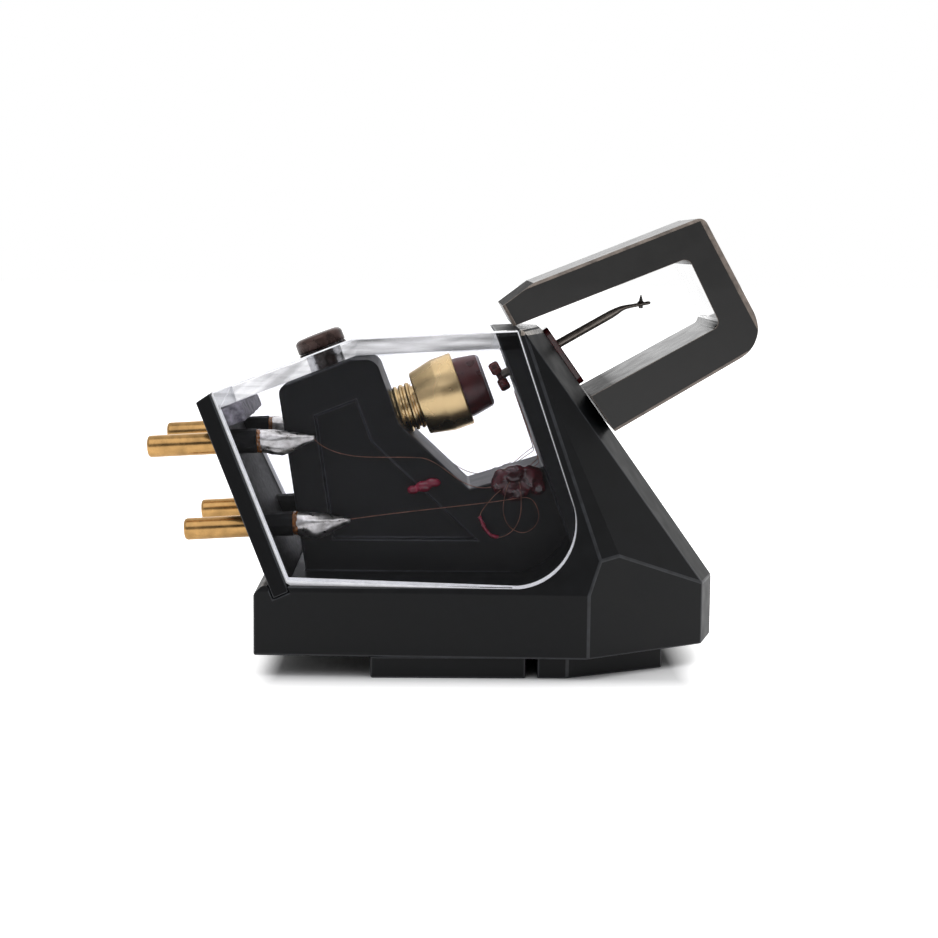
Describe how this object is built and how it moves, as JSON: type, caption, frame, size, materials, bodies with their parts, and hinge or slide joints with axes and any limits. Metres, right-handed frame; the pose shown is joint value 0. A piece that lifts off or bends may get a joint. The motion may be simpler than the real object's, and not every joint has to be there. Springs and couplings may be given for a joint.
{
  "type": "phono cartridge",
  "caption": "Moving-coil phono cartridge standing on its mounting pads, with a clear cover over the generator, gold pins and a slip-on stylus guard.",
  "frame": {"origin": "midway between the two mounting holes, on the pad face", "axes": "+X towards the stylus and the sloped front, +Y to the left channel's side, +Z from the pads up to the stylus"},
  "size_m": [0.0343, 0.0172, 0.0253],
  "materials": {
    "black_frame": "fine matt moulded grain",
    "clear_cover": "clear and polished",
    "screw": "blackened",
    "terminal_board": "matt",
    "grey_strip": "mottled",
    "red_lacquer": "wet gloss",
    "brass_carrier": "turned",
    "red_magnet": "semi-gloss coating",
    "iron": "bare",
    "cantilever_metal": "dark drawn tube",
    "diamond": "ground",
    "damper_rubber": "matt",
    "red_collar": "semi-gloss",
    "black_guard": "semi-matt",
    "gold_pin": "gold plated",
    "solder": "lumpy",
    "copper_lead": "enamelled copper",
    "coil_wire": "enamelled copper"
  },
  "bodies": {
    "cartridge": {"body": "black_frame", "cover": "clear_cover", "cover_screw": "screw", "terminal_plate": "terminal_board", "sealing_strip": "grey_strip", "lacquer_dab": "red_lacquer", "magnet_carrier": "brass_carrier", "magnet": "red_magnet", "front_collar": "red_collar", "lead_lacquer_right": "red_lacquer", "lead_lacquer_left": "red_lacquer", "pin_right_signal": "gold_pin", "solder_right_signal": "solder", "lead_right_signal": "copper_lead", "pin_right_return": "gold_pin", "solder_right_return": "solder", "lead_right_return": "copper_lead", "pin_left_signal": "gold_pin", "solder_left_signal": "solder", "lead_left_signal": "copper_lead", "pin_left_return": "gold_pin", "solder_left_return": "solder", "lead_left_return": "copper_lead"},
    "guard": {"stylus_guard": "black_guard"},
    "suspension": {"damper": "damper_rubber"},
    "moving_system": {"cantilever": "cantilever_metal", "stylus": "diamond", "armature": "iron", "coil_right_upper": "coil_wire", "coil_right_lower": "coil_wire", "coil_left_upper": "coil_wire", "coil_left_lower": "coil_wire"}
  },
  "joints": [
    {"name": "guard_slide", "type": "slide", "parent": "cartridge", "child": "guard", "axis": [0.9285, 0, 0.3714], "range_m": [0, 0.014]},
    {"name": "cantilever_sweep", "type": "hinge", "parent": "cartridge", "child": "suspension", "pos_m": [0.00229, 0, 0.01662], "axis": [-0.497, 0, 0.8678], "range_deg": [-2, 2], "stiffness_Nm_per_rad": 0.0066},
    {"name": "cantilever_lift", "type": "hinge", "parent": "suspension", "child": "moving_system", "pos_m": [0.00229, 0, 0.01662], "axis": [0, 1, 0], "range_deg": [-1.5, 3], "stiffness_Nm_per_rad": 0.0066}
  ]
}
